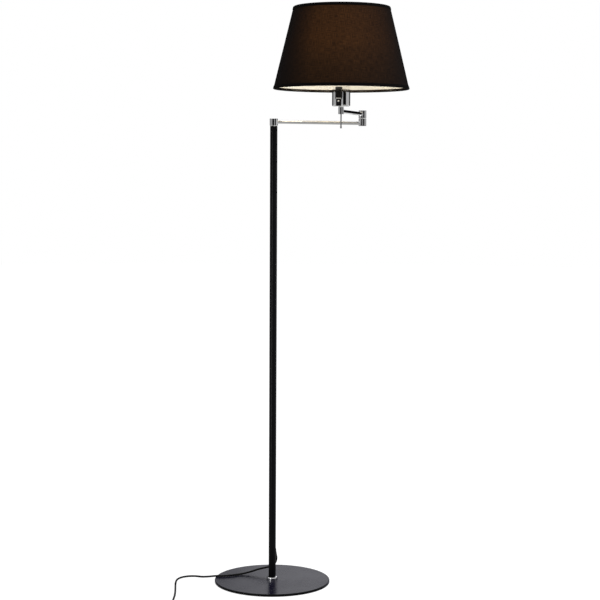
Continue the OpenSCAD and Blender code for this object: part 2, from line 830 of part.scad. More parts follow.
// Rounded oblong from its middle, for extruding
module rounded(w, h, r) {
    square([w - 2 * r, h], center = true);
    square([w, h - 2 * r], center = true);
    for (x = [-1, 1], y = [-1, 1]) translate([x * (w / 2 - r), y * (h / 2 - r)]) circle(r, $fn = 24);
}

module switch_case() {
    front = cup_r + case_depth;
    back = cup_r - 4;
    lug_back = pin_out - 2.2;
    lug_front = pin_out + 2;
    lug_drop = 4.4;
    boss_w = window_w - 0.6;
    color("#121212") at_lamp() towards_switch() difference() {
        union() {
            difference() {
                translate([0, -(front + back) / 2, case_z]) linear_extrude(case_h)
                    rounded(case_w, front - back, 1.5);
                upright(cup_d + 2 * touch, case_z - 1, case_z + case_h + 1);
            }
            translate([-boss_w / 2, -cup_r - 2, case_z + window_z + 0.3])
                cube([boss_w, 4.4, window_h - 0.6]);
            for (side = [-1, 1])
                translate([side * (case_w - lug_t) / 2 - lug_t / 2, -lug_front, case_z - lug_drop])
                    cube([lug_t, lug_front - lug_back, lug_drop + 1]);
        }
        translate([-case_w, -pin_out, pin_z]) rotate([0, 90, 0])
            cylinder(d = pin_d + 2 * run_fit, h = 2 * case_w);
    }
}

module switch_pin() {
    color("#d6d6da") at_lamp() towards_switch() translate([-case_w / 2 + 0.3, -pin_out, pin_z])
        rotate([0, 90, 0]) cylinder(d = pin_d, h = case_w - 0.6);
}

// Plate that hangs under the pin, with a hook behind the pin
module switch_paddle() {
    plate_front = pin_out + paddle_t / 2;
    hook_back = pin_out - 3.1;
    hook_front = pin_out - 1.5;
    color("#121212") at_lamp() towards_switch() difference() {
        union() {
            translate([0, -pin_out + paddle_t / 2, paddle_top - paddle_h / 2]) rotate([90, 0, 0])
                linear_extrude(paddle_t) rounded(paddle_w, paddle_h, 1.5);
            translate([-paddle_w / 2 + 1.5, -hook_front, paddle_top - 5])
                cube([paddle_w - 3, hook_front - hook_back, pin_z + 1.2 - paddle_top + 5]);
        }
        translate([-case_w, -pin_out, pin_z]) rotate([0, 90, 0])
            cylinder(d = pin_d + 2 * press_fit, h = 2 * case_w);
        translate([0, -plate_front + 1, paddle_top - 4.7]) rotate([90, 0, 0])
            cylinder(d = 2.1, h = 2);
    }
}

// Ball on the paddle's front, with a short shank in the plate
module paddle_stud() {
    plate_front = pin_out + paddle_t / 2;
    shank_r = 1;
    ball_r = stud_d / 2;
    ball_out = 0.6;                          // ball's middle in front of the plate
    flat_r = sqrt(pow(ball_r, 2) - pow(ball_out - touch, 2));
    flat_a = asin((ball_out - touch) / ball_r);
    color("#f0f0f0") at_lamp() towards_switch() translate([0, -plate_front, paddle_top - 4.7])
        rotate([90, 0, 0]) rotate_extrude($fn = 32) polygon(concat(
            [[0, -0.9], [shank_r, -0.9], [shank_r, touch], [flat_r, touch]],
            arc([0, ball_out], ball_r, -flat_a, 90, 10)));
}

// ---- Cord and plug ----

module cord_run() {
    color("#0c0c0c") swept_tube(smooth_route(cord_route, steps_per_leg), cord_d, cord_sides);
}

module cord_coil() {
    corner = cord_r;
    color("#0c0c0c") translate([coil_at[0], coil_at[1], 0.1]) rotate_extrude($fn = 96)
        translate([coil_d / 2, coil_height / 2]) rounded(coil_w, coil_height, corner);
}

// Outline of the plug's body from above, inset by t, with rounded corners
module plug_outline(t) {
    half = plug_w / 2 - t;
    x0 = boot_len + t;
    x1 = boot_len + plug_len - t;
    r = 3;
    polygon(concat(
        arc([x1 - r, half - r], r, 0, 90, 4), arc([x0 + 12, half - r], r, 90, 130, 3),
        arc([x0 + r, 9 - t - r], r, 130, 180, 3), arc([x0 + r, r + t - 9], r, 180, 230, 3),
        arc([x0 + 12, r - half], r, 230, 270, 3), arc([x1 - r, r - half], r, 270, 360, 4)));
}

// Flat two-pin plug with a tapered boot
module plug_body() {
    soft_edge = 1.8;
    color("#0c0c0c") translate(plug_at) difference() {
        union() {
            rotate([0, 90, 0]) cylinder(r1 = cord_r + 0.8, r2 = 5, h = boot_len + 1);
            hull() for (t = [0, soft_edge])
                translate([0, 0, soft_edge - t - plug_thick / 2])
                    linear_extrude(plug_thick - 2 * (soft_edge - t)) plug_outline(t);
        }
        for (s = [-1, 1])
            translate([boot_len + plug_len - plug_shank_len - touch, s * plug_pin_gap / 2, 0])
                rotate([0, 90, 0]) cylinder(d = plug_shank_d + 2 * press_fit, h = plug_len);
    }
}

// Each pin has a thin shank in the body, a plain length outside it and a tapered end
module plug_pins() {
    taper = 1;
    color("#c8c8c4") for (s = [-1, 1])
        translate(plug_at + [boot_len + plug_len, s * plug_pin_gap / 2, 0]) rotate([0, 90, 0]) {
            translate([0, 0, -plug_shank_len]) cylinder(d = plug_shank_d, h = plug_shank_len + 1);
            translate([0, 0, touch]) cylinder(d = plug_pin_d, h = plug_pin_len - taper - touch);
            translate([0, 0, plug_pin_len - taper])
                cylinder(d1 = plug_pin_d, d2 = plug_pin_d - 1.6, h = taper);
        }
}

base_plate();
base_pad();
tie_screw();
foot_insert();
foot_collar();
column_tube();
cord_grommet();
column_lead();
top_insert();
column_spindle();
column_washer();
column_nut();
column_knuckle();
column_cap();
first_arm();
first_lead();
elbow_lower();
elbow_lower_cap();
elbow_spindle();
elbow_washer();
elbow_nut();
elbow_upper();
elbow_upper_cap();
second_arm();
second_lead();
stem_knuckle();
stem_plug();
handle_rod();
stem_washer();
lamp_stem();
stem_nut();
lamp_cup();
cup_nut();
holder_base();
holder_core();
holder_terminals();
stem_lead();
holder_sleeve();
screw_shell();
centre_contact();
shade_rings();
shade_frame();
shade_top_wire();
shade_fabric();
shade_lining();
shade_hems();
bulb_cap();
bulb_tip();
bulb_glass();
switch_case();
switch_pin();
switch_paddle();
paddle_stud();
cord_run();
cord_coil();
plug_body();
plug_pins();
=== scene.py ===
"""Looks of the adjustable arm floor lamp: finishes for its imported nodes, and the soft and fine
pieces that stand for some of them, which are shade cloth, folded tapes, flex, coil tie and plug.
Metres, +Z up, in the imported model's frame."""
import json

import bpy
import numpy as np
from mathutils import Matrix, Vector


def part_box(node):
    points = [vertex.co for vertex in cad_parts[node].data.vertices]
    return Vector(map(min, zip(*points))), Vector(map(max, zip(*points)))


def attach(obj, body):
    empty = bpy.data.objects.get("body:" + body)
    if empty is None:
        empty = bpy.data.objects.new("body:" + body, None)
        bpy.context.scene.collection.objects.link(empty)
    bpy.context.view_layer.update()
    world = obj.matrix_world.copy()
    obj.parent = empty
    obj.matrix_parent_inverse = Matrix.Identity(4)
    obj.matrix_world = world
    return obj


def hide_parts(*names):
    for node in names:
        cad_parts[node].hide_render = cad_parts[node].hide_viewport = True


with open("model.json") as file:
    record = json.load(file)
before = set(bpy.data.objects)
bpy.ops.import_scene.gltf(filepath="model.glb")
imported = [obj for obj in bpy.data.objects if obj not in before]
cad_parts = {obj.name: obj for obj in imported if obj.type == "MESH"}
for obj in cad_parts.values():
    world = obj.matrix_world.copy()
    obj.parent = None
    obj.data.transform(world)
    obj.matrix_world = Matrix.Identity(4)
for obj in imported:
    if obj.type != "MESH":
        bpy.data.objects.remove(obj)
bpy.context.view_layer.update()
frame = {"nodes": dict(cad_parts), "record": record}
NODES = frame["nodes"]
TAU = 2 * np.pi
MM = 0.001


def rad(degrees):
    """Degrees in radians."""
    return float(np.radians(degrees))


# ---- Camera ----

CAMERA_PLACE = (0.0597, -4.0405, 1.0882)
CAMERA_LENS, SENSOR = 92.99, 36
CAMERA_PITCH, CAMERA_YAW, CAMERA_ROLL = rad(4.770), rad(0.149), rad(0.294)


def make_camera():
    """Camera at about three quarters of the lamp's height, 4 m in front, pitched down slightly."""
    pitch, yaw, roll = CAMERA_PITCH, CAMERA_YAW, CAMERA_ROLL
    ahead = Vector((np.sin(yaw) * np.cos(pitch), np.cos(yaw) * np.cos(pitch), -np.sin(pitch)))
    level = Vector((np.cos(yaw), -np.sin(yaw), 0))
    above = level.cross(ahead)
    right = level * np.cos(roll) + above * np.sin(roll)
    up = above * np.cos(roll) - level * np.sin(roll)
    camera = bpy.data.objects.new("camera", bpy.data.cameras.new("camera"))
    bpy.context.scene.collection.objects.link(camera)
    camera.data.sensor_width = SENSOR
    camera.data.lens = CAMERA_LENS
    camera.data.clip_end = 60
    place = Matrix((right, up, -ahead)).transposed().to_4x4()
    place.translation = CAMERA_PLACE
    camera.matrix_world = place
    bpy.context.scene.camera = camera


make_camera()


# ---- Shader graphs ----

class Wire:
    """An output socket. Arithmetic on it adds Math nodes to its graph."""

    def __init__(self, graph, socket):
        self.graph, self.socket = graph, socket

    def math(self, operation, *others):
        """A Math node on this value and others."""
        return self.graph.add("Math", {"operation": operation}, [self, *others])

    def __add__(self, other): return self.math("ADD", other)
    def __sub__(self, other): return self.math("SUBTRACT", other)
    def __mul__(self, other): return self.math("MULTIPLY", other)
    def __truediv__(self, other): return self.math("DIVIDE", other)
    __radd__, __rmul__ = __add__, __mul__

    def __rsub__(self, other):
        return self.graph.add("Math", {"operation": "SUBTRACT"}, [other, self])


class Graph:
    """Node graph of one material, or of the world."""

    def __init__(self, tree):
        self.tree = tree
        tree.nodes.clear()

    def add(self, kind, settings=None, inputs=None, out=0):
        """A node of a type, with its settings first and then its sockets' values or links."""
        node = self.tree.nodes.new("ShaderNode" + kind)
        for name, value in (settings or {}).items():
            if name == "stops":
                self.set_stops(node.color_ramp, value)
            else:
                setattr(node, name, value)
        pairs = inputs.items() if isinstance(inputs, dict) else enumerate(inputs or [])
        for name, value in pairs:
            if isinstance(value, Wire):
                self.tree.links.new(value.socket, node.inputs[name])
            else:
                node.inputs[name].default_value = value
        return Wire(self, node.outputs[out])

    @staticmethod
    def set_stops(ramp, stops):
        """Stops of a colour ramp, each with its place and either a colour or a grey."""
        while len(ramp.elements) < len(stops):
            ramp.elements.new(1.0)
        for element, (at, value) in zip(ramp.elements, stops):
            element.position = at
            element.color = (*value, 1) if hasattr(value, "__len__") else (value,) * 3 + (1,)

    def place(self, scale=(1, 1, 1), source="Object"):
        """Object coordinates, or a piece's own map, stretched by a scale."""
        at = self.add("TexCoord", out=source)
        if scale == (1, 1, 1):
            return at
        return self.add("Mapping", {}, {"Vector": at, "Scale": scale})

    def noise(self, scale, detail=3, roughness=0.5, at=None):
        """Noise from 0 to 1 with so many waves to a metre."""
        return self.add("TexNoise", {}, {"Vector": at or self.place(), "Scale": scale,
                                         "Detail": detail, "Roughness": roughness})

    def ramp(self, factor, *stops):
        """Colour ramp with so many stops."""
        return self.add("ValToRGB", {"stops": stops}, [factor])

    def within(self, value, low, high):
        """Value carried from low..high to 0..1, held at the ends."""
        return self.add("MapRange", {"clamp": True}, {0: value, 1: low, 2: high, 3: 0.0, 4: 1.0})

    def mix(self, factor, one, other):
        """Blend of two colours."""
        return self.add("Mix", {"data_type": "RGBA"}, {0: factor, 6: solid(one), 7: solid(other)},
                        out=2)

    def bump(self, height, depth):
        """Relief of so many metres where the height goes from 0 to 1."""
        return self.add("Bump", {}, {"Height": height, "Distance": depth, "Strength": 1.0})

    def blend(self, factor, one, other):
        """Mix of two shaders."""
        return self.add("MixShader", {}, [factor, one, other])

    def surface(self, **inputs):
        """Principled shader: underscores in names stand for spaces."""
        values = {name.replace("_", " "): value for name, value in inputs.items()}
        for name in ("Base Color", "Emission Color", "Sheen Tint"):
            if name in values:
                values[name] = solid(values[name])
        return self.add("BsdfPrincipled", {}, values)

    def parts(self, vector):
        """The three numbers of a vector."""
        node = self.add("SeparateXYZ", {}, [vector]).socket.node
        return [Wire(self, socket) for socket in node.outputs]

    def finish(self, shader, kind="Material"):
        """Output node for the shader."""
        output = self.tree.nodes.new("ShaderNodeOutput" + kind)
        self.tree.links.new(shader.socket, output.inputs["Surface"])


def solid(colour):
    """A colour with its alpha, or a link as it is."""
    return colour if isinstance(colour, Wire) or len(colour) == 4 else (*colour, 1)


def finish_of(make):
    """Material made by a function that gets an empty graph and returns its shader."""
    name = make.__name__
    material = bpy.data.materials.new(name)
    material.use_nodes = True
    graph = Graph(material.node_tree)
    graph.finish(make(graph))
    return material


# ---- Meshes ----

def patch(points, closed=False, ends=False, cloth=(1, 1)):
    """Grid of points as (points, quads, end faces, corner map). Rows run along the piece and
    columns run counter-clockwise round it, the last joined to the first. closed joins the last
    row to the first, ends closes both end rows, and cloth is (round, along) in metres of thread
    for the corner map."""
    rows, cols = points.shape[:2]
    row, col = np.meshgrid(np.arange(rows - (not closed)), np.arange(cols), indexing="ij")
    row_1, col_1 = (row + 1) % rows, (col + 1) % cols
    quads = np.stack([row * cols + col, row * cols + col_1, row_1 * cols + col_1,
                      row_1 * cols + col], -1).reshape(-1, 4)
    caps = []
    if ends:
        caps = [np.arange(cols)[::-1].tolist(), (np.arange(cols) + (rows - 1) * cols).tolist()]
    wide, tall = cloth
    across = np.stack([col, col + 1, col + 1, col], -1) / cols * wide
    along = np.stack([row, row, row + 1, row + 1], -1) / (rows - (not closed)) * tall
    return points.reshape(-1, 3), quads, caps, np.stack([across, along], -1).reshape(-1, 2)


SHARP = rad(40)


def piece(name, body, material, patches, replaces=()):
    """Mesh piece of one or more patches, riding on a body."""
    points, faces, corners, start = [], [], [], 0
    for spots, quads, caps, cloth in patches:
        points.append(spots)
        faces += (quads + start).tolist() + [[i + start for i in cap] for cap in caps]
        corners += [cloth, np.zeros((sum(map(len, caps)), 2))]
        start += len(spots)
    mesh = bpy.data.meshes.new(name)
    mesh.from_pydata(np.concatenate(points).tolist(), [], faces)
    layer = mesh.uv_layers.new(name="cloth")
    layer.data.foreach_set("uv", np.concatenate(corners).astype(np.float32).ravel())
    mesh.shade_smooth()
    mesh.set_sharp_from_angle(angle=SHARP)
    made = bpy.data.objects.new(name, mesh)
    bpy.context.scene.collection.objects.link(made)
    return dressed(made, body, material, replaces)


def dressed(made, body, material, replaces=()):
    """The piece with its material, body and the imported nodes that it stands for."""
    made.data.materials.append(material)
    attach(made, body)
    if replaces:
        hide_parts(*replaces)
    return made


def circle(sides):
    """Angles of so many points round a circle."""
    return np.arange(sides) / sides * TAU


def smooth(t):
    """S-curve from 0 to 1."""
    t = np.clip(t, 0, 1)
    return t * t * (3 - 2 * t)


def rounded(c, s, bend):
    """Cosine and sine of a superellipse: a power of 1 is an ellipse, less is squarer."""
    return np.sign(c) * np.abs(c) ** bend, np.sign(s) * np.abs(s) ** bend


# The upright axis that the lamp on the arm's end is built round
LAMP = ((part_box("bulb_glass")[0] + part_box("bulb_glass")[1]) / 2).xy


# ---- Finishes ----

def powder(g, rough, shine, **more):
    """Fine-grained black powder coat: faint orange peel, handling marks and dust."""
    grain = g.noise(2600, 2)
    peel = g.noise(420, 3)
    marks = g.within(g.noise(9, 5, 0.62), 0.45, 0.75)
    return g.surface(
        Base_Color=g.mix(grain, (0.0012, 0.0012, 0.0016), (0.0034, 0.0034, 0.0042)),
        Roughness=rough + 0.06 * marks + 0.04 * grain, Specular_IOR_Level=shine,
        Normal=g.bump(grain * 0.6 + peel * 0.4, 0.000008), **more)


def black_powder(g):
    """The column's coat."""
    return powder(g, 0.27, 0.11)


def plate_powder(g):
    """The plate's coat, which is smoother and has a breath of violet at a low angle."""
    return powder(g, 0.23, 0.085, Sheen_Weight=0.07, Sheen_Roughness=0.3,
                  Sheen_Tint=(0.30, 0.24, 1.0))


def foam_pad(g):
    """Closed-cell foam under the base."""
    cells = g.add("TexVoronoi", {"feature": "F1"}, {"Vector": g.place(), "Scale": 900})
    return g.surface(Base_Color=g.mix(cells, (0.012, 0.012, 0.012), (0.03, 0.03, 0.031)),
                     Roughness=0.92, Specular_IOR_Level=0.2, Normal=g.bump(cells, 0.0002))


def plating(g, bright, smeared, rough):
    """Polished plating with a slight swirl from the buff, and faint finger marks."""
    swirl = g.noise(700, 2, at=g.place((1, 1, 0.2)))
    smear = g.within(g.noise(55, 4, 0.6), 0.5, 0.8)
    return g.surface(Base_Color=g.mix(smear, (bright, bright, bright + 0.01), (smeared,) * 3),
                     Metallic=1.0, Roughness=rough + 0.07 * smear + 0.02 * swirl,
                     Normal=g.bump(swirl, 0.0000008))


def bright_chrome(g):
    """The plating of knuckles, arms, cup and collar."""
    return plating(g, 0.88, 0.82, 0.045)


def dark_rod_chrome(g):
    """The handle rod under the lamp: plated darker and duller than the rest."""
    return plating(g, 0.58, 0.50, 0.10)


def zinc_plate(g):
    """Zinc plating on screws, nuts and spindles: dull, with fine turning marks."""
    rings = g.noise(2200, 2, at=g.place((0.06, 0.06, 1)))
    stain = g.noise(140, 4)
    return g.surface(Base_Color=g.mix(stain, (0.5, 0.5, 0.5), (0.62, 0.61, 0.58)), Metallic=1.0,
                     Roughness=0.26 + 0.16 * stain, Normal=g.bump(rings, 0.00002))


def nylon(g):
    """Natural nylon washers."""
    clouds = g.noise(260, 3)
    return g.surface(Base_Color=g.mix(clouds, (0.74, 0.73, 0.68), (0.84, 0.83, 0.79)),
                     Roughness=0.42 + 0.1 * clouds, Normal=g.bump(clouds, 0.00003))


def black_bakelite(g):
    """Moulded black thermoset of the lampholder: satin, with flow marks."""
    flow = g.noise(90, 4, 0.6, g.place((1, 1, 0.3)))
    fine = g.noise(1800, 2)
    return g.surface(Base_Color=g.mix(flow, (0.008, 0.008, 0.009), (0.016, 0.015, 0.015)),
                     Roughness=0.34 + 0.14 * flow, Normal=g.bump(fine, 0.00001))


def gloss_black(g):
    """Polished black moulding of the switch, a little scratched."""
    scratch = g.within(g.noise(900, 2, at=g.place((1, 1, 0.05))), 0.62, 0.8)
    tone = g.noise(120, 3)
    return g.surface(Base_Color=g.mix(tone, (0.006, 0.006, 0.006), (0.012, 0.011, 0.010)),
                     Roughness=0.12 + 0.2 * scratch, Coat_Weight=0.4, Coat_Roughness=0.05,
                     Normal=g.bump(scratch, 0.000008))


def glazed_ceramic(g):
    """Glazed insulator of the lampholder, with specks in its glaze."""
    speck = g.noise(500, 3)
    return g.surface(Base_Color=g.mix(speck, (0.78, 0.76, 0.70), (0.84, 0.82, 0.77)),
                     Roughness=0.3 + 0.1 * speck, Normal=g.bump(speck, 0.00003))


def spring_brass(g):
    """Brass of the contacts and terminals, tarnished in patches."""
    tarnish = g.noise(180, 4)
    return g.surface(Base_Color=g.mix(tarnish, (0.62, 0.42, 0.16), (0.78, 0.58, 0.28)),
                     Metallic=1.0, Roughness=0.2 + 0.2 * tarnish,
                     Normal=g.bump(g.noise(1500, 2), 0.00001))


def white_enamel(g):
    """White stoved enamel on the shade's wires, with small runs."""
    runs = g.noise(160, 3)
    return g.surface(Base_Color=g.mix(runs, (0.76, 0.74, 0.68), (0.84, 0.83, 0.78)),
                     Roughness=0.3 + 0.12 * runs, Normal=g.bump(runs, 0.00006))


def thread_height(g, pitch):
    """Plain weave on the piece's map: crossings stand up in a chequer, and threads swell."""
    across, along, _ = g.parts(g.place(source="UV"))
    turn = TAU / pitch
    chequer = (across * turn).math("SINE") * (along * turn).math("SINE")
    warp = g.noise(1, 2, at=g.place((60, 900, 1), "UV"))
    weft = g.noise(1, 2, at=g.place((900, 60, 1), "UV"))
    return chequer * 0.25 + 0.5 + (warp + weft - 1.0) * 0.5, (warp + weft) * 0.5


def lit_cotton(g):
    """Black cotton with the bulb's light through its weave painted on as glow, brightest from the
    bulb's height upwards and dimmest at the left. The nap hides the gaps where the cloth is seen
    edge-on."""
    low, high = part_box("shade_fabric")
    foot, head = 0.172, 0.122
    height, slub = thread_height(g, 0.0011)
    side, _, up = g.parts(g.place())
    share = g.within(up, low.z, high.z)
    # Painted glow by height: emission that stands in for the bulb's light coming through the cloth
    painted_glow_by_height = g.ramp(share, (0.0, (0.016, 0.0066, 0.0018)), (0.16, (0.020, 0.0080, 0.0022)),
                  (0.36, (0.030, 0.0118, 0.0032)), (0.56, (0.042, 0.0158, 0.0040)),
                  (0.88, (0.040, 0.0150, 0.0040)), (1.0, (0.032, 0.0124, 0.0034)))
    across = (side - LAMP.x) / (share * (head - foot) + foot)
    # Painted glow by side: dimmest at the left and brightest at the right, fixed on the shade
    painted_glow_by_side = g.ramp(across * 0.5 + 0.5, (0.0, 0.30), (0.10, 0.46), (0.25, 0.85), (0.42, 0.74),
                  (0.75, 0.84), (0.9, 0.93), (1.0, 1.0))
    gaps = g.within(slub, 0.30, 0.70)
    relief = g.bump(height, 0.00022)
    weave = g.surface(Base_Color=g.mix(slub, (0.0012, 0.0010, 0.0010), (0.0050, 0.0042, 0.0040)),
                      Roughness=0.86 + 0.1 * slub, Specular_IOR_Level=0.05,
                      Emission_Color=g.mix(gaps * painted_glow_by_side, (0, 0, 0), painted_glow_by_height), Emission_Strength=2.65,
                      Normal=relief)
    nap = g.surface(Base_Color=g.mix(slub, (0.0020, 0.0015, 0.0014), (0.0060, 0.0048, 0.0046)),
                    Roughness=0.95, Specular_IOR_Level=0.04, Normal=relief)
    facing = g.add("LayerWeight", {}, {"Blend": 0.5}, out="Facing")
    edge_on = 1.0 - (1.0 - facing) * (1.0 - facing)
    return g.blend(edge_on, weave, nap)


def tape_cotton(g):
    """Folded cotton tape of the hems, black all through."""
    height, slub = thread_height(g, 0.0009)
    return g.surface(Base_Color=g.mix(slub, (0.0010, 0.0008, 0.0007), (0.0035, 0.0030, 0.0028)),
                     Roughness=0.9, Specular_IOR_Level=0.05, Normal=g.bump(height, 0.00018))


def cream_styrene(g):
    """Cream backing sheet inside the shade, with a faint painted glow all over it on top of the
    bulb's real light.
    """
    mottle = g.noise(38, 4, 0.6)
    fine = g.noise(900, 2)
    return g.surface(Base_Color=g.mix(mottle, (0.82, 0.77, 0.65), (0.86, 0.81, 0.70)),
                     Roughness=0.5 + 0.1 * mottle, Specular_IOR_Level=0.3,
                     # Painted glow: a faint emission over the whole sheet
                     Emission_Color=g.mix(mottle, (0.92, 0.82, 0.62), (0.98, 0.89, 0.70)),
                     Emission_Strength=0.14, Normal=g.bump(fine, 0.00003))


def opal_glass(g):
    """Lit opal bulb, dimmer towards the neck."""
    low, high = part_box("bulb_glass")
    _, _, up = g.parts(g.place())
    lit = g.ramp(g.within(up, low.z, high.z), (0.0, (0.16, 0.12, 0.08)), (0.3, (0.8, 0.68, 0.48)),
                 (0.55, (1.0, 0.88, 0.70)), (1.0, (1.0, 0.91, 0.76)))
    haze = g.noise(60, 3)
    return g.surface(Base_Color=g.mix(haze, (0.82, 0.80, 0.76), (0.88, 0.86, 0.82)),
                     Roughness=0.25 + 0.1 * haze, Emission_Color=lit, Emission_Strength=5.2)


def black_flex(g):
    """Matt black flex, plug and bush: soft moulding with faint bloom."""
    bloom = g.within(g.noise(70, 4, 0.6), 0.45, 0.8)
    fine = g.noise(1600, 2)
    return g.surface(Base_Color=g.mix(bloom, (0.002, 0.002, 0.002), (0.006, 0.006, 0.006)),
                     Roughness=0.42 + 0.2 * bloom, Specular_IOR_Level=0.12,
                     Normal=g.bump(fine, 0.00003))


def white_sleeving(g):
    """Braided sleeving of the leads."""
    braid = g.noise(1, 2, at=g.place((900, 900, 300)))
    return g.surface(Base_Color=g.mix(braid, (0.72, 0.72, 0.72), (0.84, 0.84, 0.84)),
                     Roughness=0.6, Normal=g.bump(braid, 0.00006))


FINISHES = {
    "black_steel": black_powder, "pad": foam_pad, "chrome": bright_chrome,
    "plated_steel": zinc_plate, "nylon": nylon, "black_plastic": black_bakelite,
    "gloss_black": gloss_black, "white_insulator": glazed_ceramic, "brass": spring_brass,
    "white_wire": white_enamel, "black_fabric": lit_cotton, "cream_lining": cream_styrene,
    "opal_glass": opal_glass, "cord_rubber": black_flex, "wire_sleeve": white_sleeving,
}
MATERIALS = {slot: finish_of(make) for slot, make in FINISHES.items()}
TAPE = finish_of(tape_cotton)
# Nodes whose finish differs from the rest of their slot
OWN = {"base_plate": finish_of(plate_powder), "handle_rod": finish_of(dark_rod_chrome)}
for part in frame["record"]["subparts"]:
    stuff = NODES[part["node"]].data.materials
    stuff.clear()
    stuff.append(OWN.get(part["node"]) or MATERIALS[part["material_slot"]])


# ---- Flex, its coil and its plug, in millimetres until MM is applied ----

ON_PLATE, ON_FLOOR = 10.3, 2.6
FLEX_R = 2.5
EXIT_HEADING, EXIT_HEIGHT, MOUTH = rad(80), 82.0, 29.0


def exit_point(out):
    """Point on the axis of the cord bush, so far out from the column's axis."""
    return [out * np.cos(EXIT_HEADING), out * np.sin(EXIT_HEADING), EXIT_HEIGHT]


ROUTE = [
    # Out of the bush, down behind the column and down to the plate
    exit_point(MOUTH + 0.05), exit_point(MOUTH + 4.9),
    [7.2, 43.8, 79], [7.7, 51.6, 71.4], [9.2, 54.6, 61], [10.9, 54, 50.4], [8.4, 53.2, 40],
    [1.5, 52.6, 31.8], [-9.5, 52, 27.2], [-24, 51.2, 23.6], [-39, 49.8, 20.2], [-54, 47.4, 15.8],
    [-70, 43.2, 12.2],
    # Over the plate and off its edge
    [-86, 36.8, ON_PLATE], [-102, 28.4, ON_PLATE], [-118, 21.4, ON_PLATE],
    [-134, 18, ON_PLATE], [-149, 19, 9.9], [-163, 23.8, 7.4], [-176.5, 30.6, 4.6],
    # Along the floor to the coil
    [-190, 37.6, ON_FLOOR], [-205, 43, ON_FLOOR], [-220, 43, ON_FLOOR], [-234, 37.4, ON_FLOOR],
    [-245, 26.6, ON_FLOOR], [-251.5, 12, ON_FLOOR], [-254, -6, ON_FLOOR], [-254, -30, ON_FLOOR],
    [-252.4, -56, ON_FLOOR], [-250.4, -84, ON_FLOOR], [-248.6, -112, ON_FLOOR],
    [-247.4, -140, ON_FLOOR], [-247.4, -168, ON_FLOOR], [-248.2, -196, ON_FLOOR],
    [-249.4, -224, ON_FLOOR], [-250, -248, ON_FLOOR]]
COIL = np.array([-217.0, -268.0])
PLUG = np.array([-191.8, -298.0, 6.9])
# Steps of the coil: the turn at which each starts, its size in millimetres, and the turns it takes
COIL_OUT, COIL_TURNS, POINTS_A_TURN = 33, 6.12, 16
SIDEWAYS = (0.7, -5, 0.3), (1.62, -5, 0.4), (3.35, 5, 0.45), (4.38, 5, 0.35), (5.4, 6.4, 0.3)
UPWARDS = (2.6, 5.2, 0.25), (5.9, -4.4, 0.24)


def coil_points():
    """Six turns counter-clockwise: three on the floor, from the outside in, then three on top of
    them, from the inside out, and the start of a seventh outside them that leads to the plug.
    Each turn runs round at one radius and steps to the next where the turn before it did."""
    turns = np.arange(0, COIL_TURNS, 1 / POINTS_A_TURN)
    radius, height = (
        first + sum(size * smooth((turns - start) / length) for start, size, length in steps)
        for first, steps in ((COIL_OUT, SIDEWAYS), (ON_FLOOR, UPWARDS)))
    angle = np.pi + TAU * turns
    return np.stack([COIL[0] + radius * np.cos(angle), COIL[1] + radius * np.sin(angle), height],
                    -1)


def flex_points():
    """The whole path, in metres: route, coil, and the rise from the coil into the plug."""
    last = [[-226, -305.4, 3.2], [-212, -306.2, 3.9], [-200, -302.4, 5.6],
            PLUG + [-1, -0.6, 0], PLUG + [3, 0, 0]]
    return np.concatenate([ROUTE, coil_points(), last]) * MM


def make_flex():
    """Round flex as one open spline through its points."""
    points = flex_points()
    curve = bpy.data.curves.new("flex", "CURVE")
    curve.dimensions = "3D"
    curve.bevel_depth = FLEX_R * MM
    curve.bevel_resolution = 4
    curve.resolution_u = 6
    curve.use_fill_caps = True
    line = curve.splines.new("BEZIER")
    line.bezier_points.add(len(points) - 1)
    line.bezier_points.foreach_set("co", points.ravel())
    for knot in line.bezier_points:
        knot.handle_left_type = knot.handle_right_type = "AUTO"
    made = bpy.data.objects.new("flex", curve)
    bpy.context.scene.collection.objects.link(made)
    return dressed(made, "stand", MATERIALS["cord_rubber"],
                   ("cord_run", "cord_coil"))


def plug_points():
    """Sections of the plug along +X: a round boot with grooves, then a flat body with rounded
    sides. Each section is a superellipse whose power, width and height go along a table."""
    x = np.array([0, 1, 3, 3.6, 5.4, 6, 8, 8.6, 10.4, 11, 13, 13.6, 15.4, 16, 18.5, 20, 21.5, 24,
                  28, 32, 40, 44.5, 46.2, 47.0])
    groove_floors, groove_depth = [3.6, 5.4, 8.6, 10.4, 13.6, 15.4], 0.7
    groove = np.isin(x, groove_floors) * -groove_depth
    half = np.interp(x, [0, 1, 18.5, 20, 21.5, 24, 32, 44.5, 46.2, 47.0],
                     [3.0, 3.4, 4.9, 6.2, 9.0, 11.0, 17.65, 17.65, 17.1, 15.8]) + groove
    thick = np.interp(x, [0, 1, 18.5, 20, 24, 32, 44.5, 46.2, 47.0],
                      [3.0, 3.4, 4.9, 5.4, 6.6, 6.85, 6.85, 6.4, 5.2]) + groove
    power = np.interp(x, [0, 19, 32, 47], [2.0, 2.0, 4.0, 4.0])
    angle = circle(56)[None, :]
    c, s = rounded(np.cos(angle), np.sin(angle), 2 / power[:, None])
    y, z = half[:, None] * c, thick[:, None] * s
    return (np.stack([x[:, None] * np.ones_like(y), y, z], -1) + PLUG) * MM


def tie_points():
    """Strap round the coil's section: a rounded oblong loop, 9 mm wide along the turns. Its
    lower run is pressed flat just over the floor."""
    half_wide, half_deep, half_tall, thick = 4.5, 8.4, 5.5, 0.8
    ring, middle, lowest, turn = 28, 5.3, 0.15, rad(-35)
    angle = circle(40)[None, :]
    c, s = rounded(np.cos(angle), np.sin(angle), 0.5)
    along = np.array([-half_wide, -half_wide, half_wide, half_wide])[:, None]
    out = np.array([0.0, thick, thick, 0.0])[:, None]
    across = (half_deep + out) * c + ring
    up = np.maximum((half_tall + out) * s + middle, lowest)
    x = across * np.cos(turn) - along * np.sin(turn) + COIL[0]
    y = across * np.sin(turn) + along * np.cos(turn) + COIL[1]
    return np.stack([x, y, up], -1) * MM


